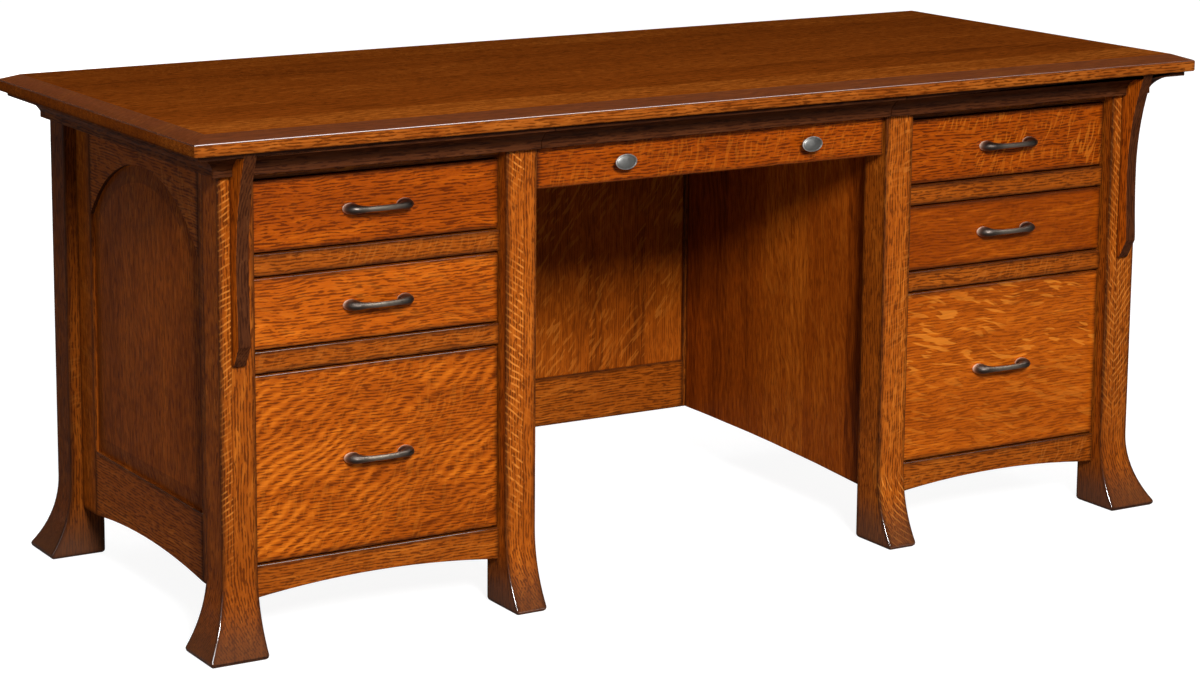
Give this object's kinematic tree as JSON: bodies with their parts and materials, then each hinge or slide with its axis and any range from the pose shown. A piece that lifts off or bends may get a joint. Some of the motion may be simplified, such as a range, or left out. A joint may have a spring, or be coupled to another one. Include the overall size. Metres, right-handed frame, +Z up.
{
  "type": "executive desk",
  "caption": "Double-pedestal executive desk in quarter-sawn oak with flared legs, corbels, a cove moulding, arched side panels, a kneehole and sliding drawers.",
  "frame": {"origin": "on the floor, under the centre of the top", "axes": "+X to the right of someone facing the drawer fronts, +Y towards the back panel, +Z up"},
  "size_m": [1.829, 0.762, 0.781],
  "materials": {
    "top_oak": "dark brown quarter-sawn oak, satin lacquer",
    "dark_oak": "dark brown oak with burnished edges, satin lacquer",
    "case_oak": "warm brown quarter-sawn oak, satin lacquer",
    "front_oak": "quarter-sawn oak with ray fleck, satin lacquer",
    "panel_oak": "brown oak, satin lacquer",
    "box_wood": "pale clear-finished hardwood",
    "pull_bronze": "dark oil-rubbed bronze with worn edges",
    "knob_pewter": "aged pewter, soft polish",
    "slide_steel": "zinc-plated steel"
  },
  "bodies": {
    "carcass": {"back_frame": "case_oak", "back_panels": "panel_oak", "corbels": "dark_oak", "dust_boards": "box_wood", "inner_side_left": "case_oak", "inner_side_right": "case_oak", "leg_back_left": "case_oak", "leg_back_right": "case_oak", "leg_front_left": "case_oak", "leg_front_left_inner": "case_oak", "leg_front_right": "case_oak", "leg_front_right_inner": "case_oak", "moulding_back": "dark_oak", "moulding_front": "dark_oak", "moulding_sides": "dark_oak", "rails_left": "case_oak", "rails_right": "case_oak", "side_frame_left": "case_oak", "side_frame_right": "case_oak", "side_panels": "panel_oak", "slide_cleats": "box_wood", "slide_outer_members": "slide_steel", "top_battens": "box_wood", "top_panel": "top_oak"},
    "drawer_center": {"drawer_center_box": "box_wood", "drawer_center_front": "front_oak", "drawer_center_knobs": "knob_pewter", "drawer_center_moulding": "dark_oak", "drawer_center_slide_inner": "slide_steel"},
    "runner_center": {"drawer_center_slide_middle": "slide_steel"},
    "drawer_left_upper": {"drawer_left_upper_box": "box_wood", "drawer_left_upper_front": "front_oak", "drawer_left_upper_pull": "pull_bronze", "drawer_left_upper_slide_inner": "slide_steel"},
    "runner_left_upper": {"drawer_left_upper_slide_middle": "slide_steel"},
    "drawer_left_middle": {"drawer_left_middle_box": "box_wood", "drawer_left_middle_front": "front_oak", "drawer_left_middle_pull": "pull_bronze", "drawer_left_middle_slide_inner": "slide_steel"},
    "runner_left_middle": {"drawer_left_middle_slide_middle": "slide_steel"},
    "drawer_left_file": {"drawer_left_file_box": "box_wood", "drawer_left_file_front": "front_oak", "drawer_left_file_pull": "pull_bronze", "drawer_left_file_slide_inner": "slide_steel"},
    "runner_left_file": {"drawer_left_file_slide_middle": "slide_steel"},
    "drawer_right_upper": {"drawer_right_upper_box": "box_wood", "drawer_right_upper_front": "front_oak", "drawer_right_upper_pull": "pull_bronze", "drawer_right_upper_slide_inner": "slide_steel"},
    "runner_right_upper": {"drawer_right_upper_slide_middle": "slide_steel"},
    "drawer_right_middle": {"drawer_right_middle_box": "box_wood", "drawer_right_middle_front": "front_oak", "drawer_right_middle_pull": "pull_bronze", "drawer_right_middle_slide_inner": "slide_steel"},
    "runner_right_middle": {"drawer_right_middle_slide_middle": "slide_steel"},
    "drawer_right_file": {"drawer_right_file_box": "box_wood", "drawer_right_file_front": "front_oak", "drawer_right_file_pull": "pull_bronze", "drawer_right_file_slide_inner": "slide_steel"},
    "runner_right_file": {"drawer_right_file_slide_middle": "slide_steel"}
  },
  "joints": [
    {"name": "drawer_center_slide", "type": "slide", "parent": "carcass", "child": "drawer_center", "axis": [0, -1, 0], "range_m": [0, 0.48]},
    {"name": "runner_center_slide", "type": "slide", "parent": "carcass", "child": "runner_center", "axis": [0, -1, 0], "range_m": [0, 0.24]},
    {"name": "drawer_left_upper_slide", "type": "slide", "parent": "carcass", "child": "drawer_left_upper", "axis": [0, -1, 0], "range_m": [0, 0.48]},
    {"name": "runner_left_upper_slide", "type": "slide", "parent": "carcass", "child": "runner_left_upper", "axis": [0, -1, 0], "range_m": [0, 0.24]},
    {"name": "drawer_left_middle_slide", "type": "slide", "parent": "carcass", "child": "drawer_left_middle", "axis": [0, -1, 0], "range_m": [0, 0.48]},
    {"name": "runner_left_middle_slide", "type": "slide", "parent": "carcass", "child": "runner_left_middle", "axis": [0, -1, 0], "range_m": [0, 0.24]},
    {"name": "drawer_left_file_slide", "type": "slide", "parent": "carcass", "child": "drawer_left_file", "axis": [0, -1, 0], "range_m": [0, 0.48]},
    {"name": "runner_left_file_slide", "type": "slide", "parent": "carcass", "child": "runner_left_file", "axis": [0, -1, 0], "range_m": [0, 0.24]},
    {"name": "drawer_right_upper_slide", "type": "slide", "parent": "carcass", "child": "drawer_right_upper", "axis": [0, -1, 0], "range_m": [0, 0.48]},
    {"name": "runner_right_upper_slide", "type": "slide", "parent": "carcass", "child": "runner_right_upper", "axis": [0, -1, 0], "range_m": [0, 0.24]},
    {"name": "drawer_right_middle_slide", "type": "slide", "parent": "carcass", "child": "drawer_right_middle", "axis": [0, -1, 0], "range_m": [0, 0.48]},
    {"name": "runner_right_middle_slide", "type": "slide", "parent": "carcass", "child": "runner_right_middle", "axis": [0, -1, 0], "range_m": [0, 0.24]},
    {"name": "drawer_right_file_slide", "type": "slide", "parent": "carcass", "child": "drawer_right_file", "axis": [0, -1, 0], "range_m": [0, 0.48]},
    {"name": "runner_right_file_slide", "type": "slide", "parent": "carcass", "child": "runner_right_file", "axis": [0, -1, 0], "range_m": [0, 0.24]}
  ],
  "couplings": [
    {"joint": "runner_center_slide", "follows": "drawer_center_slide", "ratio": 0.5},
    {"joint": "runner_left_upper_slide", "follows": "drawer_left_upper_slide", "ratio": 0.5},
    {"joint": "runner_left_middle_slide", "follows": "drawer_left_middle_slide", "ratio": 0.5},
    {"joint": "runner_left_file_slide", "follows": "drawer_left_file_slide", "ratio": 0.5},
    {"joint": "runner_right_upper_slide", "follows": "drawer_right_upper_slide", "ratio": 0.5},
    {"joint": "runner_right_middle_slide", "follows": "drawer_right_middle_slide", "ratio": 0.5},
    {"joint": "runner_right_file_slide", "follows": "drawer_right_file_slide", "ratio": 0.5}
  ]
}
